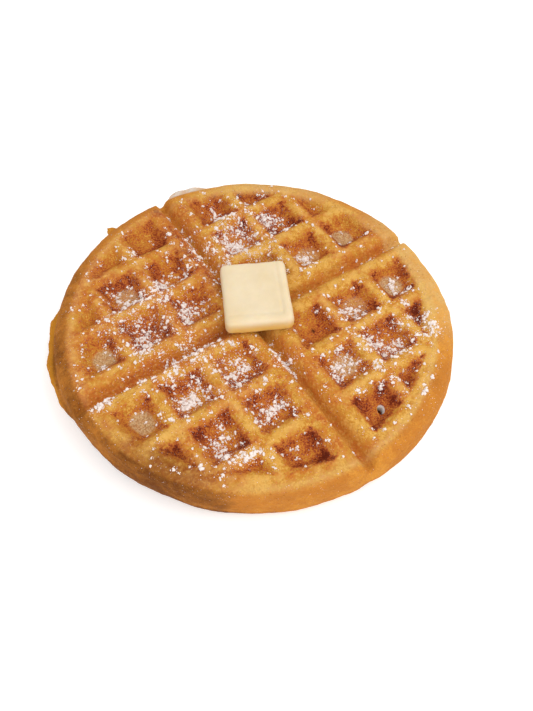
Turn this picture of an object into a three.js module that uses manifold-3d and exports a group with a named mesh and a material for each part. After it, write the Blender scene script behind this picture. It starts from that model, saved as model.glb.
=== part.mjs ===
// A round Belgian waffle in four quarters, with a square pat of butter on top and clumps of
// icing sugar stuck to it. Millimetres, +Z up. The origin is the middle of the flat plane that the
// waffle rests on. The two grooves that part the quarters run along X and along Y, and cross
// a little off the middle, because batter ran out of the iron at one side. Places on the waffle
// are given from the middle of the round slab.
import * as THREE from "three";
import { mergeVertices } from "three/addons/utils/BufferGeometryUtils.js";
import Module from "manifold-3d";

const wasm = await Module();
wasm.setup();

// ---- driving dimensions, in millimetres ----
const SLAB = { x: -0.4, y: -2 }; // the middle of the round slab
const CROSSING = { x: 0.2, y: 0.8 }; // where the two grooves cross on it
const THICKNESS = 25.4; // the two baked halves together
const PART_LINE_RADIUS = 88.6; // the widest place, where the two plates of the iron meet
const RIM_EDGE_RADIUS = 80.7; // where the flat rim starts to round over into the side
const RIM_INNER_RADIUS = 76.6; // the rim's edge towards the pockets
const RIM_INNER = { x: 1.2, y: 2 }; // its middle: the rim is thinner at the far right
const GROOVE_HALF_WIDTH = 3.8; // at the level of the rib tops
const GROOVE_DEPTH = 7.4;
const FIRST_RIB = 6.3; // width of the rib beside a groove, before its edges are rounded
const RIB = 6.2; // width of the ribs between pockets, before their edges are rounded
const PITCH = 24; // from one pocket to the next
const POCKET_ROWS = 3; // in each direction of a quarter; the rim cuts the outer ones short
const POCKET_DEPTH = 5.2;
const WALL_RUN = 2.9; // how far a pocket's wall leans in from its lip to its floor
const LIP = 1.7; // the rounding at the top of the ribs
const FLOOR_ROUND = 0.9; // the rounding round a pocket's floor
const CORNER = 1.2; // the cut of a pocket's corners, on top
const OVERCUT = 1; // how far the cutting shapes stand out of the waffle

const BUTTER = { across: 29.5, along: 33.5, high: 8, round: 1.7, corner: 3.2, turn: -27, x: 4.6, y: 4.4 };
const REST_GAP = 0.3; // between the rib tops and the butter

// Thin lips of batter that ran out of the iron: angles, and the reach at the first and the last.
const OVERFLOWS = [
  { from: 137, to: 179, reach: [6.4, 3.2], level: 13.2, thick: 2.6 },
  { from: 72, to: 88, reach: [3.4, 3.8], level: 20.4, thick: 3 },
  { from: 106, to: 110.5, reach: [5, 5], level: 18.2, thick: 2.4 },
];
// A small hole baked through one pocket's floor.
const VENT = { x: 20.4, y: -66.2, halfWidth: 1.5, halfLength: 2.5, turn: -35 };

// Where the icing sugar lies thickest: place, how far it spreads, and its share of a full cover.
const SUGAR_ZONES = [
  { x: 18, y: 38, spread: 15, share: 1 },
  { x: -40, y: 26, spread: 17, share: 0.85 },
  { x: -32, y: -22, spread: 18, share: 0.6 },
  { x: 44, y: -42, spread: 17, share: 0.55 },
  { x: 40, y: 56, spread: 10, share: 0.3 },
];
const SUGAR_FAR = 0.12; // the share everywhere else
const SUGAR_CLUMPS = 66;
const SUGAR_SIZE = [0.75, 1.4]; // smallest and largest radius
const SUGAR_APART = 4.2;
const SUGAR_SEED = 7;
const SUNK = 0.35; // share of a clump's height that lies in the crust

const UNEVEN_TOP = 0.35; // how far the rib tops rise and fall
// The outline is pushed to one side, is a little oval, and ripples.
const OUTLINE_WAVES = [
  { count: 1, size: 2.3, towards: 37 },
  { count: 2, size: 2.3, towards: 324 },
  { count: 3, size: 0.5, towards: 60 },
  { count: 7, size: 0.25, towards: 20 },
  { count: 13, size: 0.2, towards: 5 },
];
const LATHE_SIDES = 72;

const firstPocket = GROOVE_HALF_WIDTH + FIRST_RIB;
const pocketWidth = PITCH - RIB;
const pastRim = 2 * OVERCUT + LIP + Math.hypot(RIM_INNER.x, RIM_INNER.y);

// ---- joining and cutting ----
function solidFrom(geometry) {
  const bare = geometry.index ? geometry.toNonIndexed() : geometry.clone();
  bare.deleteAttribute("normal");
  bare.deleteAttribute("uv");
  const merged = mergeVertices(bare, 1e-4);
  return new wasm.Manifold(
    new wasm.Mesh({
      numProp: 3,
      vertProperties: new Float32Array(merged.attributes.position.array),
      triVerts: new Uint32Array(merged.index.array),
    }),
  );
}

function geometryFrom(solid) {
  const mesh = solid.getMesh();
  const points = new Float32Array(mesh.numVert * 3);
  for (let i = 0; i < mesh.numVert; i++)
    for (let k = 0; k < 3; k++)
      points[3 * i + k] = mesh.vertProperties[mesh.numProp * i + k];
  const geometry = new THREE.BufferGeometry();
  geometry.setAttribute("position", new THREE.BufferAttribute(points, 3));
  geometry.setIndex(new THREE.BufferAttribute(new Uint32Array(mesh.triVerts), 1));
  return geometry;
}

// A closed solid through sections that all have the same number of points, lowest section first.
function loft(sections) {
  const sides = sections[0].length;
  const points = sections.flat().flatMap((p) => [p.x, p.y, p.z]);
  const faces = [];
  for (let s = 0; s + 1 < sections.length; s++)
    for (let i = 0; i < sides; i++) {
      const a = s * sides + i;
      const b = s * sides + ((i + 1) % sides);
      faces.push(a, b, b + sides, a, b + sides, a + sides);
    }
  const last = (sections.length - 1) * sides;
  for (let i = 1; i + 1 < sides; i++) {
    faces.push(0, i + 1, i);
    faces.push(last, last + i, last + i + 1);
  }
  const geometry = new THREE.BufferGeometry();
  geometry.setAttribute("position", new THREE.Float32BufferAttribute(points, 3));
  geometry.setIndex(faces);
  return geometry;
}

function lathe(profile, sides) {
  const points = profile.map(([r, z]) => new THREE.Vector2(r, z));
  return new THREE.LatheGeometry(points, sides).rotateX(Math.PI / 2);
}

// ---- the cutting shapes, made for the top face: z = 0 is the level of the rib tops ----
// How far a wall has leaned in at each level, from the floor up.
const lipLevels = [
  { z: -LIP, inset: 0.45 * LIP },
  { z: -0.4 * LIP, inset: -0.25 * LIP },
  { z: 0, inset: -LIP },
  { z: OVERCUT, inset: -LIP - 2 * OVERCUT },
];
const wallLevels = [
  { z: -POCKET_DEPTH, inset: WALL_RUN + 1.2 * FLOOR_ROUND },
  { z: -POCKET_DEPTH + 0.7 * FLOOR_ROUND, inset: WALL_RUN },
  ...lipLevels,
];
const grooveLevels = [{ z: -GROOVE_DEPTH, inset: GROOVE_HALF_WIDTH - 0.5 }, ...lipLevels];

// A rectangle with cut corners, counter-clockwise.
function boxSection(x0, y0, width, length, { z, inset }) {
  const lo = inset;
  const [right, far] = [width - inset, length - inset];
  const cut = Math.max(0.5, CORNER - 0.25 * inset);
  return [
    [lo + cut, lo], [right - cut, lo], [right, lo + cut], [right, far - cut],
    [right - cut, far], [lo + cut, far], [lo, far - cut], [lo, lo + cut],
  ].map(([x, y]) => new THREE.Vector3(x0 + x, y0 + y, z));
}

// A pocket of the outer row reaches past the rim's edge, which then cuts it short.
function pocketCutter(row, column) {
  const [x0, y0] = [firstPocket + row * PITCH, firstPocket + column * PITCH];
  const [width, length] = [row, column].map((place) =>
    place < POCKET_ROWS - 1 ? pocketWidth : RIM_INNER_RADIUS + pastRim - firstPocket - place * PITCH,
  );
  return solidFrom(loft(wallLevels.map((w) => boxSection(x0, y0, width, length, w))));
}

// The round space inside the rim; its wall leans in as a pocket's does.
function withinRim() {
  const profile = wallLevels.map(({ z, inset }) => [RIM_INNER_RADIUS - inset, z]);
  const space = lathe([[0, -POCKET_DEPTH], ...profile, [0, OVERCUT]], LATHE_SIDES);
  return solidFrom(space.translate(RIM_INNER.x - CROSSING.x, RIM_INNER.y - CROSSING.y, 0));
}

function grooveCutter() {
  const side = (sign) =>
    grooveLevels.map(({ z, inset }) => new THREE.Vector2(sign * (GROOVE_HALF_WIDTH - inset), z));
  const outline = new THREE.Shape([...side(1), ...side(-1).reverse()]);
  const length = 2 * PART_LINE_RADIUS + 10;
  const geometry = new THREE.ExtrudeGeometry(outline, { depth: length, bevelEnabled: false })
    .translate(0, 0, -length / 2)
    .rotateX(Math.PI / 2);
  return solidFrom(geometry);
}

// All that the iron's top plate presses into the batter.
function faceCutter() {
  let quarter = null;
  for (let row = 0; row < POCKET_ROWS; row++)
    for (let column = 0; column < POCKET_ROWS; column++) {
      if (row + column >= 2 * (POCKET_ROWS - 1)) continue;
      const pocket = pocketCutter(row, column);
      quarter = quarter ? quarter.add(pocket) : pocket;
    }
  const turns = [0, 90, 180, 270];
  const pockets = wasm.Manifold.union(turns.map((turn) => quarter.rotate([0, 0, turn])));
  const groove = grooveCutter();
  const all = pockets.intersect(withinRim()).add(groove).add(groove.rotate([0, 0, 90]));
  return all.translate([CROSSING.x, CROSSING.y, 0]);
}

// ---- the waffle ----
function roundSlab() {
  const edge = [
    [RIM_EDGE_RADIUS, 0],
    [RIM_EDGE_RADIUS + 2.4, 0.4],
    [RIM_EDGE_RADIUS + 4.7, 1.6],
    [RIM_EDGE_RADIUS + 6.3, 3.6],
    [PART_LINE_RADIUS - 0.7, 8.9],
  ];
  const upper = edge.map(([r, z]) => [r, THICKNESS - z]).reverse();
  const profile = [[0, 0], ...edge, [PART_LINE_RADIUS, THICKNESS / 2], ...upper, [0, THICKNESS]];
  return solidFrom(lathe(profile, LATHE_SIDES));
}

function overflow({ from, to, reach, level, thick }) {
  const steps = Math.max(6, Math.round((to - from) / 2.5));
  const at = (degrees, radius) => {
    const angle = THREE.MathUtils.degToRad(degrees);
    return new THREE.Vector2(radius * Math.cos(angle), radius * Math.sin(angle));
  };
  const points = [];
  for (let i = 0; i <= steps; i++) {
    const share = i / steps;
    const swell = Math.pow(Math.sin(Math.PI * share), 0.45);
    const ripple = 1 + 0.13 * Math.sin(17 * share + from) + 0.08 * Math.sin(41 * share);
    const out = THREE.MathUtils.lerp(...reach, share) * swell * ripple;
    points.push(at(from + share * (to - from), PART_LINE_RADIUS - 1.5 + out));
  }
  for (let i = steps; i >= 0; i--)
    points.push(at(from + (i / steps) * (to - from), PART_LINE_RADIUS - 4));
  const geometry = new THREE.ExtrudeGeometry(new THREE.Shape(points), {
    depth: thick,
    bevelEnabled: false,
  }).translate(0, 0, level - thick / 2);
  return solidFrom(geometry);
}

function ventCutter() {
  const post = new THREE.CylinderGeometry(1, 1.25, THICKNESS, 10)
    .rotateX(Math.PI / 2)
    .scale(VENT.halfWidth, VENT.halfLength, 1)
    .rotateZ(THREE.MathUtils.degToRad(VENT.turn))
    .translate(VENT.x, VENT.y, THICKNESS / 2);
  return solidFrom(post);
}

// Level of a wall at a distance in from its edge.
function levelAt(levels, inset) {
  const above = levels.findIndex((level) => level.inset < inset);
  if (above < 0) return 0;
  if (above === 0) return levels[0].z;
  const [low, high] = [levels[above - 1], levels[above]];
  const share = (low.inset - inset) / (low.inset - high.inset);
  return Math.min(0, THREE.MathUtils.lerp(low.z, high.z, share));
}

// Height of the crust's top face over a place.
function topHeight(x, y) {
  const [u, v] = [Math.abs(x - CROSSING.x), Math.abs(y - CROSSING.y)];
  const across = (w) => {
    const row = Math.max(0, Math.round((w - firstPocket - pocketWidth / 2) / PITCH));
    const place = w - firstPocket - PITCH * row;
    return row < POCKET_ROWS - 1 ? Math.min(place, pocketWidth - place) : place;
  };
  const inRim = RIM_INNER_RADIUS - Math.hypot(x - RIM_INNER.x, y - RIM_INNER.y);
  const inPocket = Math.min(across(u), across(v), inRim);
  const inGroove = GROOVE_HALF_WIDTH - Math.min(u, v);
  return THICKNESS + Math.min(levelAt(wallLevels, inPocket), levelAt(grooveLevels, inGroove));
}

// ---- clumps of icing sugar ----
function seededRandom(seed) {
  let state = seed;
  return () => {
    state = (state * 1664525 + 1013904223) % 4294967296;
    return state / 4294967296;
  };
}

function underButter(x, y) {
  const place = new THREE.Vector2(x - BUTTER.x, y - BUTTER.y);
  place.rotateAround(new THREE.Vector2(), -THREE.MathUtils.degToRad(BUTTER.turn));
  const clear = 2.5;
  return (
    Math.abs(place.x) < BUTTER.across / 2 + clear && Math.abs(place.y) < BUTTER.along / 2 + clear
  );
}

function sugarShare(x, y) {
  const share = ({ x: u, y: v, spread, share }) =>
    share * Math.exp(-((x - u) ** 2 + (y - v) ** 2) / (2 * spread ** 2));
  return SUGAR_ZONES.reduce((sum, zone) => sum + share(zone), SUGAR_FAR);
}

function sugarClumps() {
  const random = seededRandom(SUGAR_SEED);
  const clumps = [];
  const placed = [];
  while (placed.length < SUGAR_CLUMPS) {
    const radius = (RIM_EDGE_RADIUS - 2) * Math.sqrt(random());
    const angle = 2 * Math.PI * random();
    const size = THREE.MathUtils.lerp(...SUGAR_SIZE, random() ** 2);
    const turn = Math.PI * random();
    const [x, y] = [radius * Math.cos(angle), radius * Math.sin(angle)];
    const bare = random() > sugarShare(x, y);
    const crowded = placed.some((p) => Math.hypot(p.x - x, p.y - y) < SUGAR_APART);
    const onVent = Math.hypot(x - VENT.x, y - VENT.y) < 5;
    if (bare || crowded || onVent || underButter(x, y)) continue;
    placed.push({ x, y });
    const clump = new THREE.IcosahedronGeometry(size, 0)
      .scale(1.25, 1, 0.8)
      .rotateZ(turn)
      .translate(x, y, topHeight(x, y) + (0.5 - SUNK) * size);
    clumps.push(solidFrom(clump));
  }
  return wasm.Manifold.union(clumps);
}

// How far the outline leaves a true circle in a direction, in radians.
function outlineChange(angle) {
  const wave = ({ count, size, towards }) =>
    size * Math.cos(count * (angle - THREE.MathUtils.degToRad(towards)));
  return OUTLINE_WAVES.reduce((sum, each) => sum + wave(each), 0);
}

// Gentle rise and fall of the top and of the outline. The underside stays flat.
function makeUneven(geometry) {
  const place = geometry.attributes.position;
  for (let i = 0; i < place.count; i++) {
    const [x, y, z] = [place.getX(i), place.getY(i), place.getZ(i)];
    const radius = Math.hypot(x, y);
    const angle = Math.atan2(y, x);
    const rise =
      Math.sin(0.055 * x + 1.3) * Math.cos(0.047 * y - 0.4) + 0.4 * Math.sin(0.11 * (x - y));
    const nearEdge = Math.min(1, radius / PART_LINE_RADIUS) ** 12;
    const stretch = 1 + (outlineChange(angle) * nearEdge) / PART_LINE_RADIUS;
    place.setXYZ(i, x * stretch, y * stretch, z + UNEVEN_TOP * rise * (z / THICKNESS));
  }
  return geometry;
}

function waffleGeometry() {
  const cutter = faceCutter();
  const below = cutter.mirror([0, 0, 1]);
  let solid = roundSlab();
  for (const piece of OVERFLOWS) solid = solid.add(overflow(piece));
  solid = solid.subtract(cutter.translate([0, 0, THICKNESS])).subtract(below).subtract(ventCutter());
  return makeUneven(geometryFrom(solid.add(sugarClumps())));
}

// ---- the butter ----
function butterGeometry() {
  const { across, along, high, round, corner } = BUTTER;
  const ring = (inset, z) => {
    const [w, l] = [across / 2 - inset, along / 2 - inset];
    const soft = corner - 0.5 * inset;
    const points = [];
    for (const [sx, sy, start] of [[1, 1, 0], [-1, 1, 90], [-1, -1, 180], [1, -1, 270]])
      for (let step = 0; step <= 3; step++) {
        const angle = THREE.MathUtils.degToRad(start + 30 * step);
        points.push(
          new THREE.Vector3(
            sx * (w - soft) + soft * Math.cos(angle),
            sy * (l - soft) + soft * Math.sin(angle),
            z,
          ),
        );
      }
    return points;
  };
  return loft([
    ring(round, 0),
    ring(0.3 * round, 0.3 * round),
    ring(0, round),
    ring(0.1, high - round),
    ring(0.3 * round + 0.1, high - 0.3 * round),
    ring(round, high),
  ]);
}

const crust = new THREE.MeshStandardMaterial({ color: 0xd9963b, roughness: 0.62, metalness: 0 });
const butterFat = new THREE.MeshStandardMaterial({ color: 0xf3dfb2, roughness: 0.42, metalness: 0 });

const waffle = new THREE.Mesh(waffleGeometry(), crust);
waffle.name = "waffle";
waffle.position.set(SLAB.x, SLAB.y, 0);

const butter = new THREE.Mesh(butterGeometry(), butterFat);
butter.name = "butter_pat";
butter.rotation.z = THREE.MathUtils.degToRad(BUTTER.turn);
butter.position.set(SLAB.x + BUTTER.x, SLAB.y + BUTTER.y, THICKNESS + UNEVEN_TOP + REST_GAP);

const plateful = new THREE.Group();
plateful.add(waffle, butter);

export default plateful;
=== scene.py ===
import math

import bpy
import numpy as np
from mathutils import Matrix, Quaternion, Vector, noise
from mathutils.bvhtree import BVHTree


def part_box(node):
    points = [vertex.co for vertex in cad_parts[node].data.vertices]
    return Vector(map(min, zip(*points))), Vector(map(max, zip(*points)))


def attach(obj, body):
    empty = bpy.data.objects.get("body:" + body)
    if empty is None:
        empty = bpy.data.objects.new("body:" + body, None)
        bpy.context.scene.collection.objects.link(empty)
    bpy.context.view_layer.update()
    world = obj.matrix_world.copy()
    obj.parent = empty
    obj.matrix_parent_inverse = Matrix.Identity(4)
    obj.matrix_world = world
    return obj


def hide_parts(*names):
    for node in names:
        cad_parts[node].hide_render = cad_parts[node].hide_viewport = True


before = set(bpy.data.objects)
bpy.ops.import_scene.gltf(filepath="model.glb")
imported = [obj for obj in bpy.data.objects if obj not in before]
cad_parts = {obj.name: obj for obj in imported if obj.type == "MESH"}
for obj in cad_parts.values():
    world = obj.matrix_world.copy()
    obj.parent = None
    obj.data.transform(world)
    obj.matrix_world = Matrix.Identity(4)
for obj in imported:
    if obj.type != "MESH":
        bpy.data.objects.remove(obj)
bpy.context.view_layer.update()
mm = 0.001

# the pattern that the iron presses, in millimetres, as the solids have it
iron = {
    "slab": (-0.4, -2.0),  # the middle of the round; the places below are given from it
    "crossing": (0.2, 0.8),  # where the two grooves cross
    "thickness": 25.4,
    "rimEdge": 80.7,  # where the flat rim rounds over into the side
    "rimInner": 76.6,
    "rimMiddle": (1.2, 2.0),
    "vent": (20.4, -66.2),
    "firstPocket": 10.1,  # from the crossing to the nearest pockets
    "pocket": 17.8,  # its width
    "pitch": 24.0,
}
slab = Vector((iron["slab"][0], iron["slab"][1], 0.0)) * mm


# small helpers
def selectOnly(piece):
    if bpy.context.mode != "OBJECT":
        bpy.ops.object.mode_set(mode="OBJECT")
    bpy.ops.object.select_all(action="DESELECT")
    piece.select_set(True)
    bpy.context.view_layer.objects.active = piece


def addModifier(piece, kind, **settings):
    selectOnly(piece)
    modifier = piece.modifiers.new(kind.lower(), kind)
    for name, value in settings.items():
        setattr(modifier, name, value)
    bpy.ops.object.modifier_apply(modifier=modifier.name)


def readPlaces(piece):
    flat = np.empty(len(piece.data.vertices) * 3, np.float32)
    piece.data.vertices.foreach_get("co", flat)
    return flat.reshape(-1, 3).astype(float)


def writePlaces(piece, places):
    piece.data.vertices.foreach_set("co", places.astype(np.float32).ravel())
    piece.data.update()


def writeMask(piece, name, values):
    layer = piece.data.attributes.new(name, "FLOAT", "POINT")
    layer.data.foreach_set("value", np.clip(values, 0, 1).astype(np.float32))


def addSwell(piece, name, size, depth):
    texture = bpy.data.textures.new(name, "CLOUDS")
    texture.noise_scale = size * mm
    texture.noise_depth = 2
    settings = {"texture": texture, "texture_coords": "LOCAL", "strength": depth * mm, "mid_level": 0.5}
    addModifier(piece, "DISPLACE", **settings)


def remesh(piece, voxel, softenRounds):
    addModifier(piece, "REMESH", mode="VOXEL", voxel_size=voxel, adaptivity=0.0)
    addModifier(piece, "SMOOTH", factor=0.5, iterations=softenRounds)


def smoothStep(low, high, value):
    t = np.clip((value - low) / (high - low), 0, 1)
    return t * t * (3 - 2 * t)


def bell(value, middle, width, power=2):
    return np.exp(-(np.abs((value - middle) / width) ** power))


def turned(x, y, u, v, turn):
    # the place that lies u and v from x and y, along axes that are turned
    return x + u * math.cos(turn) - v * math.sin(turn), y + u * math.sin(turn) + v * math.cos(turn)


def turnedBack(x, y, turn):
    return x * math.cos(turn) + y * math.sin(turn), -x * math.sin(turn) + y * math.cos(turn)


def facing(around, direction):
    # 1 in that direction from the middle, and -1 on the other side
    return np.cos(np.radians(around - direction))


def paint(red, green, blue):
    # a colour as an artist picks it, 0 to 255, turned into the shader's own units
    def linear(part):
        share = part / 255
        return share / 12.92 if share <= 0.04045 else ((share + 0.055) / 1.055) ** 2.4

    return (linear(red), linear(green), linear(blue), 1.0)


# camera
viewpoint = {
    "place": (-86.38, -134.63, 244.14),
    "aim": (-7.24, -22.96, 25.4),
    "roll": 1.79,  # degrees
    "lens": 30.594,
    "sensor": 36.0,
}


def placeCamera():
    lens = bpy.data.cameras.new("viewCamera")
    lens.lens = viewpoint["lens"]
    lens.sensor_width = viewpoint["sensor"]
    lens.clip_start = 0.01
    camera = bpy.data.objects.new("viewCamera", lens)
    bpy.context.scene.collection.objects.link(camera)
    place = Vector(viewpoint["place"]) * mm
    sight = Vector(viewpoint["aim"]) * mm - place
    roll = Quaternion((0, 0, 1), math.radians(viewpoint["roll"]))
    turn = sight.to_track_quat("-Z", "Y") @ roll
    camera.matrix_world = Matrix.Translation(place) @ turn.to_matrix().to_4x4()
    bpy.context.scene.camera = camera


placeCamera()
print("camera placed")


# shader helpers
def makePatchyGroup():
    group = bpy.data.node_groups.new("patchyMask", "ShaderNodeTree")
    for name, kind in (
        ("Vector", "NodeSocketVector"),
        ("Scale", "NodeSocketFloat"),
        ("Detail", "NodeSocketFloat"),
        ("Low", "NodeSocketFloat"),
        ("High", "NodeSocketFloat"),
    ):
        group.interface.new_socket(name=name, in_out="INPUT", socket_type=kind)
    group.interface.new_socket(name="Mask", in_out="OUTPUT", socket_type="NodeSocketFloat")
    inside = group.nodes.new("NodeGroupInput")
    outside = group.nodes.new("NodeGroupOutput")
    cloud = group.nodes.new("ShaderNodeTexNoise")
    reach = group.nodes.new("ShaderNodeMapRange")
    reach.interpolation_type = "SMOOTHSTEP"
    group.links.new(inside.outputs["Vector"], cloud.inputs["Vector"])
    group.links.new(inside.outputs["Scale"], cloud.inputs["Scale"])
    group.links.new(inside.outputs["Detail"], cloud.inputs["Detail"])
    group.links.new(cloud.outputs["Fac"], reach.inputs["Value"])
    group.links.new(inside.outputs["Low"], reach.inputs["From Min"])
    group.links.new(inside.outputs["High"], reach.inputs["From Max"])
    group.links.new(reach.outputs["Result"], outside.inputs["Mask"])
    return group


patchyGroup = makePatchyGroup()


class Finish:
    # a material with its shader, and short ways to add the nodes that feed it
    def __init__(self, name):
        self.material = bpy.data.materials.new(name)
        self.material.use_nodes = True
        self.tree = self.material.node_tree
        self.shader = self.tree.nodes["Principled BSDF"]
        self.coords = self.tree.nodes.new("ShaderNodeTexCoord").outputs["Object"]

    def link(self, source, target):
        if isinstance(source, (int, float, tuple)):
            target.default_value = source
        else:
            self.tree.links.new(source, target)

    def feed(self, name, source):
        self.link(source, self.shader.inputs[name])

    def glow(self, share, colours, reach):
        # light that passes under the skin
        self.feed("Subsurface Weight", share)
        self.feed("Subsurface Radius", colours)
        self.feed("Subsurface Scale", reach)

    def patchy(self, scale, detail, low, high):
        node = self.tree.nodes.new("ShaderNodeGroup")
        node.node_tree = patchyGroup
        self.link(self.coords, node.inputs["Vector"])
        for name, value in (("Scale", scale), ("Detail", detail), ("Low", low), ("High", high)):
            self.link(value, node.inputs[name])
        return node.outputs["Mask"]

    def attribute(self, name):
        node = self.tree.nodes.new("ShaderNodeAttribute")
        node.attribute_name = name
        return node.outputs["Fac"]

    def add(self, first, second, clamp=False):
        return self.combine("ADD", first, second, clamp)

    def times(self, first, second, clamp=False):
        return self.combine("MULTIPLY", first, second, clamp)

    def combine(self, operation, first, second, clamp):
        node = self.tree.nodes.new("ShaderNodeMath")
        node.operation = operation
        node.use_clamp = clamp
        self.link(first, node.inputs[0])
        self.link(second, node.inputs[1])
        return node.outputs["Value"]

    def blend(self, share, first, second):
        node = self.tree.nodes.new("ShaderNodeMix")
        node.data_type = "RGBA"
        self.link(share, node.inputs[0])
        self.link(first, node.inputs[6])
        self.link(second, node.inputs[7])
        return node.outputs[2]

    def level(self, value, low, high):
        node = self.tree.nodes.new("ShaderNodeMapRange")
        self.link(value, node.inputs["Value"])
        node.inputs["To Min"].default_value = low
        node.inputs["To Max"].default_value = high
        return node.outputs["Result"]

    def swing(self, value, reach):
        return self.level(value, -reach, reach)

    def step(self, value, low, high):
        node = self.tree.nodes.new("ShaderNodeMapRange")
        node.interpolation_type = "SMOOTHSTEP"
        self.link(value, node.inputs["Value"])
        node.inputs["From Min"].default_value = low
        node.inputs["From Max"].default_value = high
        return node.outputs["Result"]

    def ramp(self, value, stops):
        node = self.tree.nodes.new("ShaderNodeValToRGB")
        node.color_ramp.interpolation = "EASE"
        while len(node.color_ramp.elements) < len(stops):
            node.color_ramp.elements.new(0.5)
        for element, (place, colour) in zip(node.color_ramp.elements, stops):
            element.position = place
            element.color = colour
        self.link(value, node.inputs["Fac"])
        return node.outputs["Color"]

    def bump(self, height, depth, strength, under=None):
        node = self.tree.nodes.new("ShaderNodeBump")
        node.inputs["Distance"].default_value = depth * mm
        node.inputs["Strength"].default_value = strength
        self.link(height, node.inputs["Height"])
        if under is not None:
            self.link(under, node.inputs["Normal"])
        return node.outputs["Normal"]


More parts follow.
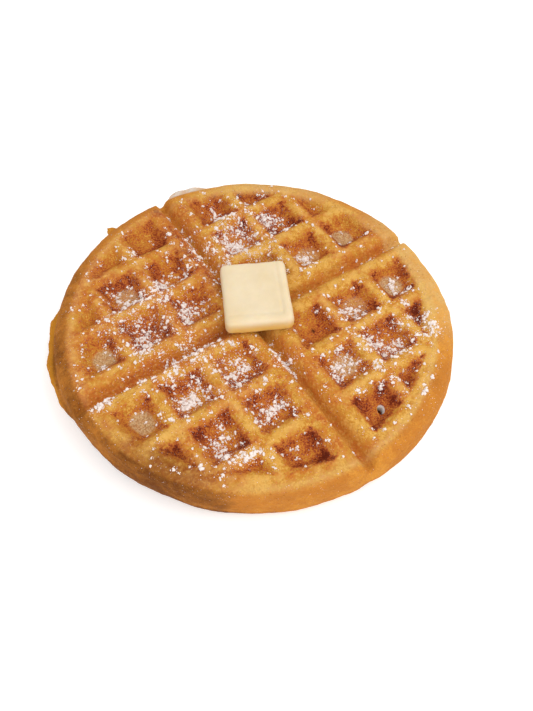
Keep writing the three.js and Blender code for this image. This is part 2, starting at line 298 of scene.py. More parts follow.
# the waffle's crust
crust = {
    "voxel": 1.0 * mm,
    "weld": 0.002 * mm,
    "softenRounds": 3,
    "swells": [("batterSwell", 16.0, 0.9), ("batterLumps", 5.0, 0.45), ("batterPores", 2.2, 0.16)],
    "drift": (24.0, 0.35),  # how long and how far the ribs wander sideways
    "driftApart": [(0, 0, 0), (7.3, 1.9, 4.1), (2.7, 8.4, 5.9)],  # where each axis reads the noise
    "driftUpwards": 0.6,  # the share of it that goes up and down
    "driftFades": 3.0,  # it fades out this low, so that the underside stays flat
    # from golden to dark brown; the dark end also paints shade
    "bakeAndShadeStops": [
        (0.0, paint(205, 153, 71)),
        (0.15, paint(187, 130, 48)),
        (0.33, paint(188, 116, 46)),
        (0.55, paint(174, 94, 43)),
        (0.78, paint(140, 61, 32)),
        (1.0, paint(100, 38, 22)),
    ],
    # the side's colours; the dark end also paints the side's shade on the left and near the floor
    "side": [(0.0, paint(204, 138, 54)), (0.3, paint(184, 116, 46)), (1.0, paint(108, 60, 22))],
    # the cream of the painted highlight on the crests, also used for the flecks
    "crestHighlight": paint(224, 178, 100),
    # the cream of the rim's painted highlight and of its paler far right
    "rimHighlightAndPale": paint(216, 182, 116),
    "groove": paint(204, 121, 54),
    "grooveShare": 0.35,
    "pore": paint(140, 78, 26),
    "powder": paint(230, 216, 208),
    "powderReach": 0.42,  # how far the dust lifts its grain over the edge that shows
    "powderEdge": (0.95, 1.0),
    "powderShare": 0.9,
    "pale": paint(197, 163, 120),
    "palePore": paint(166, 124, 82),
    "thin": paint(196, 132, 40),
    "thinShare": 0.8,
    # the vent's deep walls are painted near white, as painted light from the bright floor seen through
    # the hole
    "ventPaintedLight": paint(252, 246, 244),
    # the dark of a steam hole, painted as shade
    "hole": paint(70, 36, 20),
    "frosted": paint(214, 202, 188),
    "roughness": (0.56, 0.42),
    "sideRougher": 0.25,
    "speckRougher": 0.06,
    "gloss": 0.03,
    "glow": (0.08, (1.0, 0.45, 0.15), 1.2 * mm),
    # grains of the batter: scale, detail, and which part of the noise shows
    "grains": {
        "broad": (60.0, 3.0, 0.3, 0.7),
        "middle": (240.0, 4.0, 0.32, 0.68),
        "fine": (640.0, 4.0, 0.35, 0.65),
        "tiny": (1500.0, 3.0, 0.35, 0.65),
        "patches": (170.0, 4.0, 0.42, 0.62),
        "flecks": (760.0, 3.0, 0.5, 0.7),
        "pores": (900.0, 2.0, 0.64, 0.74),
        "palePores": (1400.0, 3.0, 0.44, 0.6),
        "dust": (1500.0, 2.0, 0.2, 0.8),
    },
    # which grain breaks a layer up, the painted highlights among them, and how much of the layer it
    # leaves
    "grainBreakUp": {
        "crestHighlight": ("patches", 0.0, 0.8),
        "rimHighlightAndPale": ("middle", 0.55, 1.0),
        "pale": ("fine", 0.7, 1.1),
        "frosted": ("middle", 0.55, 1.0),
    },
    "fleckShares": (0.4, 0.0),  # how strong they are on ribs and in pockets
    "sideFlecks": (1.0, 0.15),  # how strong they are on the faces and on the side
    "poreShares": (0.25, 0.8),
    # bumps of the skin: grain, depth and strength
    "relief": [("middle", 0.5, 0.3), ("fine", 0.34, 0.6), ("tiny", 0.16, 0.6)],
    # how far the browning swings with each grain
    "swings": {"broad": 0.19, "middle": 0.1, "fine": 0.07, "tiny": 0.3},
    "speckles": (0.35, 0.8),  # how strong the two finest are on ribs and in pockets
    "sideSwing": 0.6,
    "ragged": {"middle": 0.06, "fine": 0.07},  # how ragged a pocket's browned edge is
    "pocketEdge": (0.28, 0.76),
    # how brown the crust is baked, from 0 to 1, with painted shade and a contact shadow in some places
    "browningAndShade": {
        "ribs": 0.185,
        "grooves": (0.03, 0.14),  # how much more in one groove, and in the other
        "grooveWall": (4.9, 2.3),  # where a groove's browning starts, and where it is whole
        "upperWall": 0.9,  # one groove's upper wall is this much narrower
        "beside": (0.15, 0.06, 0.1),  # beside a groove: left of it, along its far half, and both
        "besideWidth": 9.5,
        "leftQuarter": 0.25,
        # painted shade on the rim near one angle round it: how much darker it is painted
        "rimShade": 0.1,
        "rimShadeSpot": (-148, 20),  # where the rim gets painted shade: its angle, and how far it reaches round
        "pockets": 0.66,
        "right": 0.32,
        "rightwards": (0.5, 0.3, 14, 30),  # how x and y count, an offset, and how slowly it grows
        "towardsRim": 0.32,
        "atRim": 0.32,
        "floor": 0.34,
        # the corners are baked browner and also painted darker as shade
        "corners": 0.36,
        "cornerReach": 3.4,
        "floorPaler": 0.02,
        "leftPaler": 0.33,
        # browner and paler spots: place, width both ways, and how much
        "spots": [
            (28, 15, 26, 15, -0.65),
            (-44, -44, 16, 16, -0.26),
            (19, -19, 14, 14, -0.14),
            (32, 46, 20, 16, 0.3),
        ],
        # how much browner the rim's inner wall is, at some angles
        "rimWall": [
            (-180, 0.02),
            (-150, 0.22),
            (-120, -0.15),
            (-90, 0.43),
            (-60, 0.13),
            (-30, 0.34),
            (0, -0.1),
            (30, -0.55),
            (60, 0.03),
            (90, 0.04),
            (120, -0.12),
            (150, -0.26),
            (180, 0.02),
        ],
        # how brown the side is at some angles round it; on the left the higher values are painted shade
        # as well as browning
        "side": [
            (-180, 0.6),
            (-172, 0.62),
            (-162, 0.74),
            (-150, 0.92),
            (-141, 0.8),
            (-132, 0.64),
            (-122, 0.3),
            (-90, 0.22),
            (-60, 0.3),
            (-20, 0.12),
            (20, 0.26),
            (60, 0.1),
            (95, 0.24),
            (125, 0.44),
            (150, 0.66),
            (165, 0.66),
            (180, 0.6),
        ],
        "sideLowShade": 0.25,  # how much darker it is painted low down, as painted shade near the floor
        "sideFootShadow": (0.6, -152),  # how much more is painted at its foot as a contact shadow, and towards which angle
        # the share of the side's colour that the rim's painted shade takes
        "sideRimShade": 0.7,
    },
    # painted highlights and paler cream: how strong they are, where they lie and how wide
    "highlightAndPale": {
        "crestHighlight": (0.6, -3.1, 1.8),  # the place is from a pocket's edge
        "crestAtGroove": 0.8,  # how much less beside a groove
        "crestInRimShade": 0.5,
        "shoulder": (0.42, -0.4, 1.5),  # the place is from the rim's edge
        "shoulderFront": -90,
        "shoulderInRimShade": 0.7,
        "farRight": (0.6, 18),  # how strong it is, and towards which angle
        "farRightGap": (0.85, 22, 12),  # how much less in a gap, its angle, and how far it reaches
    },
    # where each mask starts and where it is whole, in millimetres
    "edges": {
        "face": (9, 4),  # from a face
        "side": (0, 2.2),  # past the rim's edge
        "thin": (89.5, 91.0),
        # the rim's painted shade
        "rimShade": (68, 78),
        "besideLeft": (1, -5),
        "besideFar": (10, 40),
        "besideFarLeft": (2, -4),
        "leftQuarter": ((10, -30), (-20, 20)),
        "leftPaler": ((10, -20), (-10, 14)),
        "towardsRim": (22, 66),
        "atRim": (62, 74),
        "floor": (2.4, 4.4),  # from a pocket's edge
        "rimWall": (6, 1),
        "sideLowShade": (8, 2),
        "sideFootShadow": (7, 1),
        "footShadowTurn": (0.7, 0.95),  # how much a place faces that way, up to 1
        "frontTurn": (0.6, 0.8),
        "farRightTurn": (0.4, 0.75),
        "farRight": (77.0, 79.5),
        "crestGroove": (4.2, 5.2),
        "crestRim": (82, 78),
        "pale": (6.4, 4.6),  # from the middle of a pale round
        "paleWall": (2.2, 3.6),
        "paleDeep": (2.0, 4.4),
        "hole": (1.2, 0.7),  # in radii of the hole
        "vent": (3.0, 2.4),
        "ventDeep": (5.9, 6.9),
        "frosted": (86, 88.5),
        "frostedHigh": (7, 11),
    },
    # pale porous rounds on some floors, where the batter didn't touch the iron: place, and how strong
    "paleRounds": [
        (20.6, -41.2, 0.7),
        (-65.4, -18.0, 1.0),
        (-64.6, 17.6, 1.0),
        (65.6, -18.2, 0.9),
        (64.6, 18.2, 0.9),
        (43.6, -18.6, 0.4),
        (-41.6, 42.4, 0.6),
        (43.8, 17.8, 0.5),
    ],
    # small holes where steam came out, not modelled but painted as dark discs of shade: place and
    # radius
    "steamHoles": [(20.0, -19.0, 0.9), (44.2, 42.4, 1.0)],
    # sugar on the overflow at the far side: its angle, and how far it reaches round
    "frostedSpot": (80, 9),
}
browningAndShade, highlightAndPale, edges = crust["browningAndShade"], crust["highlightAndPale"], crust["edges"]


def edge(name, value):
    return smoothStep(*edges[name], value)


def corner(name, x, y):
    # a part of the round with two soft edges
    return smoothStep(*edges[name][0], x) * smoothStep(*edges[name][1], y)


def patternDistances(x, y):
    # how far inside a pocket's four edges and the rim a place lies; less than 0 is on a rib
    start, wide, pitch = iron["firstPocket"], iron["pocket"], iron["pitch"]

    def across(w):
        row = np.clip(np.round((w - start - wide / 2) / pitch), 0, 2)
        place = w - start - pitch * row
        return np.where(row < 2, np.minimum(place, wide - place), place)

    inward = iron["rimInner"] - np.hypot(x - iron["rimMiddle"][0], y - iron["rimMiddle"][1])
    u, v = np.abs(x - iron["crossing"][0]), np.abs(y - iron["crossing"][1])
    nearest, second, _ = np.sort(np.stack([across(u), across(v), inward]), axis=0)
    return nearest, second, inward


class Survey:
    # where each point of the crust lies, in millimetres and in degrees round the slab
    def __init__(self, piece):
        places = readPlaces(piece)
        self.x = places[:, 0] / mm - iron["slab"][0]
        self.y = places[:, 1] / mm - iron["slab"][1]
        self.z = places[:, 2] / mm
        self.radius, self.around = np.hypot(self.x, self.y), np.degrees(np.arctan2(self.y, self.x))
        self.u, self.v = self.x - iron["crossing"][0], self.y - iron["crossing"][1]
        self.nearest, self.second, self.inward = patternDistances(self.x, self.y)
        self.upper = self.z > iron["thickness"] / 2
        self.deep = np.minimum(iron["thickness"] - self.z, self.z)
        self.onFace = edge("face", self.deep)
        # painted shade on the rim near one angle round it
        self.rimShade = bell(self.around, *browningAndShade["rimShadeSpot"]) * edge("rimShade", self.radius)
        fromU, fromV = np.abs(self.u), np.abs(self.v)
        upperWall = browningAndShade["upperWall"] * ((fromV < fromU) & (self.v > 0))
        self.fromGroove = np.minimum(fromU, fromV) + upperWall
        self.inGroove = smoothStep(*browningAndShade["grooveWall"], self.fromGroove)
        self.besideGroove = bell(self.u, 0, browningAndShade["besideWidth"], 4)


def ribHeatAndShade(at):
    # browner in the grooves, along one of them and in the left quarter, with painted shade on the rim
    # near one angle
    more = np.where(np.abs(at.u) < np.abs(at.v), *browningAndShade["grooves"])
    darkness = browningAndShade["ribs"] + more * at.inGroove
    left, far, farLeft = browningAndShade["beside"]
    beside = left * edge("besideLeft", at.u)
    beside += (far + farLeft * edge("besideFarLeft", at.u)) * edge("besideFar", at.v)
    darkness += beside * at.besideGroove * (1 - at.inGroove)
    darkness += browningAndShade["leftQuarter"] * corner("leftQuarter", at.x, at.y)
    return darkness + browningAndShade["rimShade"] * at.rimShade


def pocketHeatAndShade(at):
    # browner in the corners, where the darkening is partly baked and partly painted shade, at the right
    # and towards the rim, but not close to it
    gap = np.maximum(at.nearest, 0) ** 2 + np.maximum(at.second, 0) ** 2
    cornerBrowningAndShade = np.exp(-gap / (2 * browningAndShade["cornerReach"] ** 2))
    alongX, alongY, offset, slow = browningAndShade["rightwards"]
    right = 0.5 + 0.5 * np.tanh((at.x * alongX - at.y * alongY + offset) / slow)
    tone = browningAndShade["pockets"] + browningAndShade["right"] * right
    tone -= browningAndShade["atRim"] * edge("atRim", at.radius)
    tone += browningAndShade["towardsRim"] * edge("towardsRim", at.radius) * (0.5 + 0.5 * right)
    tone -= browningAndShade["leftPaler"] * corner("leftPaler", at.x, at.y)
    for x, y, wide, long, more in browningAndShade["spots"]:
        tone += more * bell(at.x, x, wide) * bell(at.y, y, long)
    darkness = tone * (browningAndShade["floor"] + browningAndShade["corners"] * cornerBrowningAndShade)
    darkness -= browningAndShade["floorPaler"] * edge("floor", at.nearest)
    return darkness + edge("rimWall", at.inward) * np.interp(at.around, *zip(*browningAndShade["rimWall"]))


def sideHeatAndShade(at):
    # browning round the side, with painted shade on the left, low down, and as a contact shadow at its
    # foot
    darkness = np.interp(at.around, *zip(*browningAndShade["side"]))
    darkness *= 1 + browningAndShade["sideLowShade"] * edge("sideLowShade", at.z)
    more, direction = browningAndShade["sideFootShadow"]
    footShadow = edge("sideFootShadow", at.z) * edge("footShadowTurn", facing(at.around, direction))
    return darkness + more * footShadow


def crestHighlightMask(at):
    # a painted highlight along the crests, in cream, but few beside one of the grooves
    strong, place, wide = highlightAndPale["crestHighlight"]
    mask = strong * bell(at.nearest, place, wide) * edge("crestGroove", at.fromGroove)
    mask *= edge("crestRim", at.radius) * (1 - highlightAndPale["crestAtGroove"] * at.besideGroove)
    return mask * (1 - highlightAndPale["crestInRimShade"] * at.rimShade) * at.onFace


def rimHighlightAndPaleMask(at):
    # a painted highlight along the rim's shoulder in cream, strongest in front, and paler cream over
    # its far right
    strong, place, wide = highlightAndPale["shoulder"]
    shoulder = strong * bell(at.radius, iron["rimEdge"] + place, wide)
    shoulder *= 0.5 + 0.5 * edge("frontTurn", facing(at.around, highlightAndPale["shoulderFront"]))
    shoulder *= (1 - highlightAndPale["shoulderInRimShade"] * at.rimShade) * at.onFace
    strong, direction = highlightAndPale["farRight"]
    less, middle, wide = highlightAndPale["farRightGap"]
    farRight = strong * edge("farRight", at.radius) * edge("farRightTurn", facing(at.around, direction))
    return np.maximum(shoulder, farRight * (1 - less * bell(at.around, middle, wide)))


def sideAndRimShadeMask(at):
    # the side's own colour, also used for the rim's painted shade
    return np.maximum(edge("side", at.radius - iron["rimEdge"]), browningAndShade["sideRimShade"] * at.rimShade)


def paleMask(at):
    mask = 0 * at.x
    for x, y, strong in crust["paleRounds"]:
        mask = np.maximum(mask, strong * edge("pale", np.hypot(at.x - x, at.y - y)))
    return mask * edge("paleWall", at.nearest) * edge("paleDeep", at.deep) * at.upper


def holeMask(at):
    # painted shade where each steam hole is
    mask = 0 * at.x
    for x, y, size in crust["steamHoles"]:
        mask = np.maximum(mask, edge("hole", np.hypot(at.x - x, at.y - y) / size))
    return mask * at.upper


def ventLightMask(at):
    # painted light deep in the vent, where the bright floor shows through
    fromVent = np.hypot(at.x - iron["vent"][0], at.y - iron["vent"][1])
    return at.upper * edge("vent", fromVent) * edge("ventDeep", at.deep)


def dustMask(at):
    # sugar dust lies in the zones and round each pat of sugar
    share, strong, reach, reachMore = sugar["dust"]
    mask = share * sugarShare(at.x, at.y)
    for x, y, size in sugarPats:
        gap = (at.x - x) ** 2 + (at.y - y) ** 2
        mask += strong * np.exp(-gap / (2 * (reach + reachMore * size) ** 2))
    return mask * at.upper * at.onFace


def frostedMask(at):
    mask = edge("frosted", at.radius) * edge("frostedHigh", at.z)
    return mask * bell(at.around, *crust["frostedSpot"], 4)


def bakeMasks(piece):
    at = Survey(piece)
    masks = {
        "groove": crust["grooveShare"] * at.inGroove,
        "ribHeatAndShade": ribHeatAndShade(at),
        "pocketHeatAndShade": pocketHeatAndShade(at),
        "inside": (at.nearest + 4) / 8,  # 0.5 is at a pocket's edge
        "crestHighlight": crestHighlightMask(at),
        "rimHighlightAndPale": rimHighlightAndPaleMask(at),
        "side": sideAndRimShadeMask(at),
        "sideHeatAndShade": sideHeatAndShade(at),
        "pale": paleMask(at),
        "thin": edge("thin", at.radius),
        "ventPaintedLight": ventLightMask(at),
        "hole": holeMask(at),
        "dust": dustMask(at),
        "frosted": frostedMask(at),
    }
    for name, values in masks.items():
        writeMask(piece, name, values)


# where the icing sugar lies
sugar = {
    # places, how far it spreads there and how much there is
    "zones": [
        (18, 38, 15, 1.0),
        (-40, 26, 17, 0.85),
        (-32, -22, 18, 0.6),
        (44, -42, 17, 0.55),
        (40, 56, 10, 0.3),
    ],
    "elsewhere": 0.12,
    "dust": (0.3, 0.13, 0.9, 0.8),  # in zones, at a pat, and how far it reaches from one
    # larger clumps, as the solid has them
    "clumps": 66,
    "clumpSize": (0.75, 1.4),
    "clumpsApart": 4.2,
    "clumpGaps": (2, 2.5, 5),  # from the rim's edge, from the butter and from the vent
    "clumpSeed": 7,
    "clumpDraw": (1664525, 1013904223, 4294967296),
    # pats of finer sugar
    "driftSpread": 0.7,  # as a share of a drift's half length and width
    "driftPats": (0.4, 1.2, 2),  # least reach, how much more it can be, and how rare that is
    "strays": 770,
    "strayPats": (0.25, 0.9, 3),
    "patSeed": 5,
    "reach": 83.4,  # from the middle of the rim's inner edge
    # piles of crumbs at each clump and pat: how far they spread, how many there are, and their
    # least and largest size; each of the last three has a fixed part and a part that grows
    "clumpPiles": [(0.3, (4, 0), (0, 0.5), (0, 0.85)), (1.1, (10, 0), (0.15, 0), (0.45, 0))],
    "patPiles": [(0.55, (2, 4), (0.37, 0), (0.55, 0.45)), (1.8, (1, 6), (0.2, 0), (0.36, 0))],
    "slimmest": 0.3,
    "crumbGaps": (0.2, 3.2),  # from the butter and from the vent
    "grain": 0.36,  # crumbs up to this size are grains
    "fall": 80.0,  # they fall from this high
    "raised": 0.15,  # the share of its size that a crumb lies above the crust
    "clumpShape": (5, 4),  # sides and rings
    "grainShape": (4, 3),
    "shapes": 6,
    "rugged": 0.3,
    "flatter": ((0.5, 1.0), (0.4, 0.8)),
    "grainSeed": 11,
    "colours": (paint(236, 226, 221), paint(222, 209, 202)),
    "mottle": (1600.0, 3.0, 0.3, 0.7),
    "bump": (0.1, 0.4),
    "roughness": 0.85,
    "gloss": 0.25,
    # drifts of sugar: place, half length, half width, turn in degrees and how many pats
    "drifts": [
        (16, 44, 8.0, 3.4, 100, 42),
        (20, 62, 5.0, 3.0, -60, 16),
        (41, 47, 6.5, 3.0, 110, 25),
        (42, 17, 4.6, 3.2, 0, 16),
        (-46, 17, 8.0, 3.2, 75, 35),
        (-23, 18, 4.4, 3.2, 60, 20),
        (-28, 38, 13.0, 2.4, 4, 37),
        (-28, 62, 4.0, 1.6, 80, 8),
        (-2, 46, 14.0, 1.8, 88, 14),
        (-21, -18, 5.0, 3.8, 30, 27),
        (-43, -20, 6.4, 3.0, -10, 26),
        (-20, -42, 5.0, 4.0, -30, 23),
        (-43, -43, 5.2, 4.0, 20, 21),
        (-77, -4.0, 4.5, 1.8, 10, 16),
        (-34, -2.0, 13.0, 1.6, 2, 22),
        (-62, -2.0, 8.0, 1.2, 2, 6),
        (-44, -7.0, 16.0, 1.4, 1, 12),
        (-36, -57, 20.0, 2.8, -22, 22),
        (-1, -27, 6.0, 2.6, 85, 18),
        (40, -20, 7.0, 3.0, -60, 18),
        (41, -44, 8.5, 3.4, -50, 33),
        (17, -42, 4.6, 3.8, 0, 18),
        (61, -46, 8.0, 4.0, -35, 22),
        (66, -22, 8.0, 3.0, 80, 14),
        (31, -52, 16.0, 3.0, -62, 22),
    ],
}


def sugarShare(x, y):
    share = sugar["elsewhere"] + 0 * x
    for u, v, spread, amount in sugar["zones"]:
        share = share + amount * np.exp(-((x - u) ** 2 + (y - v) ** 2) / (2 * spread**2))
    return share


def drawPats():
    # pats of sugar, as place and reach: in drifts, and a few strays between them
    draw = np.random.default_rng(sugar["patSeed"])
    pats = []
    least, more, rare = sugar["driftPats"]
    for x, y, long, wide, turn, count in sugar["drifts"]:
        for _ in range(count):
            u = draw.normal() * long * sugar["driftSpread"]
            v = draw.normal() * wide * sugar["driftSpread"]
            reach = least + more * draw.random() ** rare
            pats.append((*turned(x, y, u, v, math.radians(turn)), reach))
    placed = 0
    least, more, rare = sugar["strayPats"]
    while placed < sugar["strays"]:
        radius = sugar["reach"] * math.sqrt(draw.random())
        angle = 2 * math.pi * draw.random()
        kept, reach = draw.random(), draw.random()
        x, y = radius * math.cos(angle), radius * math.sin(angle)
        if kept > sugarShare(x, y):
            continue
        pats.append((x, y, least + more * reach**rare))
        placed += 1
    return pats


sugarPats = drawPats()


def crustMaterial():
    finish = Finish("bakedBatterWithPaintedLight")
    grains = {name: finish.patchy(*values) for name, values in crust["grains"].items()}

    def swung(name, kind):
        return finish.swing(grains[name], crust[kind][name])

    def brokenUp(name):
        grain, low, high = crust["grainBreakUp"][name]
        left = finish.level(grains[grain], low, high)
        return finish.times(finish.attribute(name), left, clamp=True)

    # a pocket's browning has a ragged edge along the rib
    ragged = finish.add(swung("middle", "ragged"), swung("fine", "ragged"))
    pocket = finish.step(finish.add(finish.attribute("inside"), ragged), *crust["pocketEdge"])
    darkness = finish.times(pocket, finish.attribute("pocketHeatAndShade"))
    darkness = finish.add(darkness, finish.attribute("ribHeatAndShade"))
    # ribs vary softly over some millimetres, and pockets are speckled
    soft = finish.add(swung("broad", "swings"), swung("middle", "swings"))
    speckled = finish.add(swung("fine", "swings"), swung("tiny", "swings"))
    speckled = finish.times(speckled, finish.level(pocket, *crust["speckles"]))
    uneven = finish.add(soft, speckled)
    darkness = finish.add(darkness, uneven, clamp=True)
    # the ramp paints browning and, in places, shade
    colour = finish.ramp(darkness, crust["bakeAndShadeStops"])
    colour = finish.blend(finish.attribute("groove"), colour, crust["groove"])
    side = finish.attribute("side")
    uneven = finish.times(uneven, crust["sideSwing"])
    sideHeatAndShade = finish.add(finish.attribute("sideHeatAndShade"), uneven, clamp=True)
    colour = finish.blend(side, colour, finish.ramp(sideHeatAndShade, crust["side"]))
    flecks = finish.times(grains["flecks"], finish.level(pocket, *crust["fleckShares"]))
    flecks = finish.times(flecks, finish.level(side, *crust["sideFlecks"]))
    pores = finish.times(grains["pores"], finish.level(grains["broad"], *crust["poreShares"]))
    # the more sugar dust there is, the more of its specks show
    specks = finish.add(finish.times(finish.attribute("dust"), crust["powderReach"]), grains["dust"])
    powder = finish.times(finish.step(specks, *crust["powderEdge"]), crust["powderShare"])
    layers = [
        (brokenUp("crestHighlight"), crust["crestHighlight"]),
        (brokenUp("rimHighlightAndPale"), crust["rimHighlightAndPale"]),
        (flecks, crust["crestHighlight"]),
        (pores, crust["pore"]),
        (brokenUp("pale"), finish.blend(grains["palePores"], crust["pale"], crust["palePore"])),
        (finish.times(finish.attribute("thin"), crust["thinShare"]), crust["thin"]),
        (finish.attribute("ventPaintedLight"), crust["ventPaintedLight"]),
        (finish.attribute("hole"), crust["hole"]),
        (brokenUp("frosted"), crust["frosted"]),
        (powder, crust["powder"]),
    ]
    for share, over in layers:
        colour = finish.blend(share, colour, over)
    finish.feed("Base Color", colour)
    rough = finish.level(darkness, *crust["roughness"])
    rough = finish.add(rough, finish.level(side, 0.0, crust["sideRougher"]))
    finish.feed("Roughness", finish.add(rough, finish.swing(grains["fine"], crust["speckRougher"])))
    normal = None
    for name, depth, strength in crust["relief"]:
        normal = finish.bump(grains[name], depth, strength, normal)
    finish.feed("Normal", normal)
    finish.feed("Specular IOR Level", crust["gloss"])
    finish.glow(*crust["glow"])
    return finish.material


def wander(piece):
    # ribs that aren't quite straight
    long, far = crust["drift"]
    places = readPlaces(piece)
    apart = [Vector(offset) for offset in crust["driftApart"]]
    spots = [Vector(place) / (long * mm) for place in places]
    shift = np.array([[noise.noise(spot + offset) for offset in apart] for spot in spots]) * far * mm
    shift[:, 2] *= crust["driftUpwards"] * smoothStep(0, crust["driftFades"], places[:, 2] / mm)
    places += shift
    places[:, 2] = np.maximum(places[:, 2], 0.0)
    writePlaces(piece, places)


def makeCrust():
    # the solid's own shape, remeshed fine and softened, so that it keeps its form
    piece = bpy.data.objects.new("waffleCrust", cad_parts["waffle"].data.copy())
    bpy.context.scene.collection.objects.link(piece)
    piece.data.materials.clear()
    selectOnly(piece)
    bpy.ops.object.mode_set(mode="EDIT")
    bpy.ops.mesh.select_all(action="SELECT")
    bpy.ops.mesh.remove_doubles(threshold=crust["weld"])
    bpy.ops.object.mode_set(mode="OBJECT")
    remesh(piece, crust["voxel"], crust["softenRounds"])
    for name, size, depth in crust["swells"]:
        addSwell(piece, name, size, depth)
    wander(piece)
    bakeMasks(piece)
    selectOnly(piece)
    bpy.ops.object.shade_smooth()
    piece.data.materials.append(crustMaterial())
    return piece


waffleCrust = makeCrust()
print("crust made:", len(waffleCrust.data.polygons), "faces")


# the butter
butter = {
    "across": 29.5,
    "along": 33.5,
    "high": 8.0,
    "turn": -27.0,
    "middle": (4.6, 4.4),
    "spread": (0.4, 1.2),  # how much larger it is than the solid's block, as it softens
    "ahead": 0.7,  # how far its middle has moved ahead
    "edge": 3.0,
    "edgeCuts": 5,
    "edgeRound": 0.55,
    "voxel": 0.42 * mm,
    "softenRounds": 6,
    "swell": ("butterSwell", 9.0, 0.7),
    # a shallow cut mark inside two of the edges: depth, inset, width and where it ends
    "rightMark": (0.28, 4.2, 0.7, -12),
    "frontMark": (0.26, 4.4, 0.9, 11),
    "sag": (0.25, 15, 17),  # how deep, and how far it reaches both ways
    "top": (0.8, 1.0),  # the share of the height at which it starts, and where it is whole
    "colours": (paint(219, 202, 170), paint(214, 191, 148)),
    "smear": paint(208, 190, 156),
    "smearShare": 0.35,
    # painted shade on the butter's sides, yellower and darker, less on the left face
    "low": paint(228, 188, 104),
    "sideShadeEnds": (0.95, 0.4),  # the sides are painted yellower and darker below these shares of the height, as painted shade
    "sideShadeLeft": (0.3, (-15, -11)),  # how much of that the left face has, and where that ends
    "broad": (45.0, 2.0, 0.3, 0.7),
    "smears": (190.0, 3.0, 0.3, 0.7),
    "fine": (1400.0, 2.0, 0.3, 0.7),
    "bumps": ((0.35, 0.22), (0.05, 0.15)),
    "roughness": (0.34, 0.48),
    "glow": (0.5, (1.0, 0.7, 0.35), 2.5 * mm),
}


def butterMaterial():
    finish = Finish("butterFatWithPaintedShade")
    smears = finish.patchy(*butter["smears"])
    colour = finish.blend(finish.patchy(*butter["broad"]), *butter["colours"])
    colour = finish.blend(finish.times(smears, butter["smearShare"]), colour, butter["smear"])
    # painted shade on the lower sides
    colour = finish.blend(finish.attribute("low"), colour, butter["low"])
    finish.feed("Base Color", colour)
    finish.feed("Roughness", finish.level(smears, *butter["roughness"]))
    smeared, grained = butter["bumps"]
    normal = finish.bump(smears, *smeared)
    finish.feed("Normal", finish.bump(finish.patchy(*butter["fine"]), *grained, normal))
    finish.glow(*butter["glow"])
    return finish.material


def shapeTop(piece, middle, low, high):
    # the cut marks, a top that sags a little, and where the sides get painted shade
    places = readPlaces(piece)
    dx, dy = places[:, 0] - middle.x, places[:, 1] - middle.y
    u, v = (part / mm for part in turnedBack(dx, dy, math.radians(butter["turn"])))
    share = (places[:, 2] - low.z) / (high.z - low.z)
    depth, inset, wide, end = butter["rightMark"]
    mark = depth * np.exp(-((u - butter["across"] / 2 + inset) ** 2) / wide) * (v > end)
    depth, inset, wide, end = butter["frontMark"]
    mark += depth * np.exp(-((v + butter["along"] / 2 - inset) ** 2) / wide) * (u < end)
    deep, far, ahead = butter["sag"]
    sag = deep * (1 - (u / far) ** 2) * (1 - (v / ahead) ** 2)
    places[:, 2] -= smoothStep(*butter["top"], share) * (mark + sag) * mm
    writePlaces(piece, places)
    addSwell(piece, *butter["swell"])
    left, ends = butter["sideShadeLeft"]
    shown = left + (1 - left) * smoothStep(*ends, u)
    writeMask(piece, "low", smoothStep(*butter["sideShadeEnds"], share) * shown)


def makeButter():
    low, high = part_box("butter_pat")
    middle = (low + high) / 2
    turn = math.radians(butter["turn"])
    middle += Vector((-math.sin(turn), math.cos(turn), 0)) * butter["ahead"] * mm
    bpy.ops.object.select_all(action="DESELECT")
    bpy.ops.mesh.primitive_cube_add(size=1.0, location=middle)
    piece = bpy.context.active_object
    piece.name = "butterPat"
    across, along = butter["across"] + butter["spread"][0], butter["along"] + butter["spread"][1]
    piece.dimensions = (across * mm, along * mm, butter["high"] * mm)
    bpy.ops.object.transform_apply(location=False, rotation=False, scale=True)
    bpy.ops.object.mode_set(mode="EDIT")
    bpy.ops.mesh.select_all(action="SELECT")
    cuts, profile = butter["edgeCuts"], butter["edgeRound"]
    bpy.ops.mesh.bevel(offset=butter["edge"] * mm, segments=cuts, profile=profile, affect="EDGES")
    bpy.ops.object.mode_set(mode="OBJECT")
    piece.rotation_euler.z = turn
    bpy.ops.object.transform_apply(location=True, rotation=True, scale=True)
    remesh(piece, butter["voxel"], butter["softenRounds"])
    shapeTop(piece, middle, low, high)
    selectOnly(piece)
    bpy.ops.object.shade_smooth()
    piece.data.materials.append(butterMaterial())
    return piece


butterPat = makeButter()
print("butter made")


# icing sugar
def onButter(x, y, margin):
    dx, dy = x - butter["middle"][0], y - butter["middle"][1]
    u, v = turnedBack(dx, dy, math.radians(butter["turn"]))
    return abs(u) < butter["across"] / 2 + margin and abs(v) < butter["along"] / 2 + margin


def onVent(x, y, gap):
    return math.hypot(x - iron["vent"][0], y - iron["vent"][1]) < gap


def clumpPlaces():
    # the same draw that fused the larger clumps to the solid
    state = sugar["clumpSeed"]
    factor, more, period = sugar["clumpDraw"]

    def draw():
        nonlocal state
        state = (state * factor + more) % period
        return state / period

    small, large = sugar["clumpSize"]
    fromRim, fromButter, fromVent = sugar["clumpGaps"]
    placed = []
    while len(placed) < sugar["clumps"]:
        radius = (iron["rimEdge"] - fromRim) * math.sqrt(draw())
        angle = 2 * math.pi * draw()
        size = small + (large - small) * draw() ** 2
        draw()  # the solid's clump takes its turn from this one
        x, y = radius * math.cos(angle), radius * math.sin(angle)
        bare = draw() > sugarShare(x, y)
        crowded = any(math.hypot(x - p[0], y - p[1]) < sugar["clumpsApart"] for p in placed)
        if bare or crowded or onVent(x, y, fromVent) or onButter(x, y, fromButter):
            continue
        placed.append((x, y, size))
    return placed


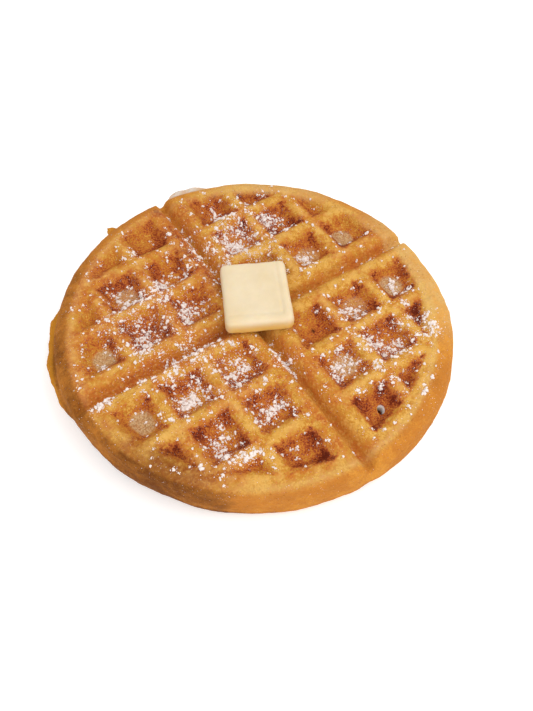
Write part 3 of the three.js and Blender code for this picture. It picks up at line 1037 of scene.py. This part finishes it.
def grainShapes(sides, rings, draw):
    # a few crumbs of sugar, each modelled once and copied many times
    shapes = []
    for _ in range(sugar["shapes"]):
        bpy.ops.object.select_all(action="DESELECT")
        bpy.ops.mesh.primitive_uv_sphere_add(segments=sides, ring_count=rings, radius=1.0)
        crumb = bpy.context.active_object
        bpy.ops.object.mode_set(mode="EDIT")
        bpy.ops.mesh.quads_convert_to_tris()
        bpy.ops.transform.vertex_random(offset=sugar["rugged"], seed=int(draw.integers(1, 9999)))
        bpy.ops.object.mode_set(mode="OBJECT")
        # sorted, as their order isn't the same in every run
        faces = np.array(sorted(tuple(face.vertices) for face in crumb.data.polygons))
        shapes.append((readPlaces(crumb), faces))
        bpy.data.objects.remove(crumb)
    return shapes


def scatter(name, grains, shapes, draw, material):
    # one mesh of many crumbs: place, size and tilt are each crumb's own
    corners, faces, count = [], [], 0
    for place, size in grains:
        shape, shapeFaces = shapes[draw.integers(len(shapes))]
        turn = Quaternion(draw.normal(size=4)).normalized().to_matrix()
        stretch = np.array([1.0, *(draw.uniform(*span) for span in sugar["flatter"])])
        corners.append((shape * stretch) @ np.array(turn) * size + place)
        faces.append(shapeFaces + count)
        count += len(shape)
    mesh = bpy.data.meshes.new(name)
    mesh.from_pydata(np.concatenate(corners).tolist(), [], np.concatenate(faces).tolist())
    piece = bpy.data.objects.new(name, mesh)
    bpy.context.scene.collection.objects.link(piece)
    piece.data.materials.append(material)
    selectOnly(piece)
    bpy.ops.object.mode_set(mode="EDIT")
    bpy.ops.mesh.select_all(action="SELECT")
    bpy.ops.mesh.normals_make_consistent(inside=False)
    bpy.ops.object.mode_set(mode="OBJECT")
    print(name, "has", len(grains), "crumbs and", sum(map(len, faces)), "triangles")
    return piece


def sugarMaterial():
    finish = Finish("icingSugar")
    mottle = finish.patchy(*sugar["mottle"])
    finish.feed("Base Color", finish.blend(mottle, *sugar["colours"]))
    finish.feed("Roughness", sugar["roughness"])
    finish.feed("Specular IOR Level", sugar["gloss"])
    finish.feed("Normal", finish.bump(mottle, *sugar["bump"]))
    return finish.material


def makeSugar():
    draw = np.random.default_rng(sugar["grainSeed"])
    crustTree = BVHTree.FromObject(waffleCrust, bpy.context.evaluated_depsgraph_get())
    down = Vector((0, 0, -1))
    fromButter, fromVent = sugar["crumbGaps"]
    large, small = [], []

    def settle(x, y, size):
        # a crumb lies where it falls, but none on the butter, in the vent or off the round
        aside, away = x - iron["rimMiddle"][0], y - iron["rimMiddle"][1]
        outside = math.hypot(aside, away) > sugar["reach"]
        if outside or onButter(x, y, fromButter) or onVent(x, y, fromVent):
            return
        hit, normal = crustTree.ray_cast(Vector((x * mm, y * mm, sugar["fall"] * mm)) + slab, down)[:2]
        if hit is None:
            return
        place = np.array(hit) + np.array(normal) * size * mm * sugar["raised"]
        (large if size > sugar["grain"] else small).append((place, size * mm))

    def pile(x, y, scale, spread, *growing):
        # longer one way than the other
        turn = math.pi * draw.random()
        slim = sugar["slimmest"] + (1 - sugar["slimmest"]) * draw.random()
        long = spread * scale
        count, least, most = (fixed + more * scale for fixed, more in growing)
        for _ in range(int(count)):
            u, v = draw.normal() * long, draw.normal() * long * slim
            settle(*turned(x, y, u, v, turn), least + (most - least) * draw.random() ** 2)

    for x, y, size in clumpPlaces():
        for values in sugar["clumpPiles"]:
            pile(x, y, size, *values)
    for x, y, reach in sugarPats:
        for values in sugar["patPiles"]:
            pile(x, y, reach, *values)
    material = sugarMaterial()
    return [
        scatter("sugarClumps", large, grainShapes(*sugar["clumpShape"], draw), draw, material),
        scatter("sugarGrains", small, grainShapes(*sugar["grainShape"], draw), draw, material),
    ]


sugarPieces = makeSugar()


# floor and light
studio = {
    "size": 4.0,
    "colours": (paint(253, 253, 252), paint(251, 251, 251)),
    "mottle": (30.0, 2.0, 0.2, 0.8),
    "roughness": 0.8,
    "glow": 0.16,  # the floor is lit from below, so that shadows on it are faint
    "white": (1, 1, 1, 1),
    "sky": 0.82,
    # lamps: place, size, power and colour
    "lamps": [
        ("keyLamp", (0.32, -0.2, 0.52), 0.5, 1.9, (1.0, 0.985, 0.96)),
        ("fillLamp", (-0.34, -0.3, 0.42), 0.6, 1.4, (1.0, 0.99, 0.98)),
    ],
}


def makeFloor():
    bpy.ops.object.select_all(action="DESELECT")
    bpy.ops.mesh.primitive_plane_add(size=studio["size"], location=(0, 0, 0))
    floor = bpy.context.active_object
    floor.name = "studioFloor"
    finish = Finish("floorPaint")
    finish.feed("Base Color", finish.blend(finish.patchy(*studio["mottle"]), *studio["colours"]))
    finish.feed("Roughness", studio["roughness"])
    finish.feed("Emission Color", studio["white"])
    finish.feed("Emission Strength", studio["glow"])
    floor.data.materials.append(finish.material)


def makeLight():
    world = bpy.data.worlds.new("softSky")
    world.use_nodes = True
    background = world.node_tree.nodes["Background"]
    background.inputs["Color"].default_value = studio["white"]
    background.inputs["Strength"].default_value = studio["sky"]
    bpy.context.scene.world = world
    for name, place, size, power, colour in studio["lamps"]:
        lamp = bpy.data.lights.new(name, "AREA")
        lamp.size = size
        lamp.energy = power
        lamp.color = colour
        holder = bpy.data.objects.new(name, lamp)
        bpy.context.scene.collection.objects.link(holder)
        holder.location = place
        holder.rotation_euler = (-Vector(place)).to_track_quat("-Z", "Y").to_euler()
    bpy.context.scene.view_settings.view_transform = "Standard"


makeFloor()
makeLight()
print("studio lit")

for piece in [waffleCrust] + sugarPieces:
    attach(piece, "root")
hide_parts("waffle")
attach(butterPat, "root")
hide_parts("butter_pat")
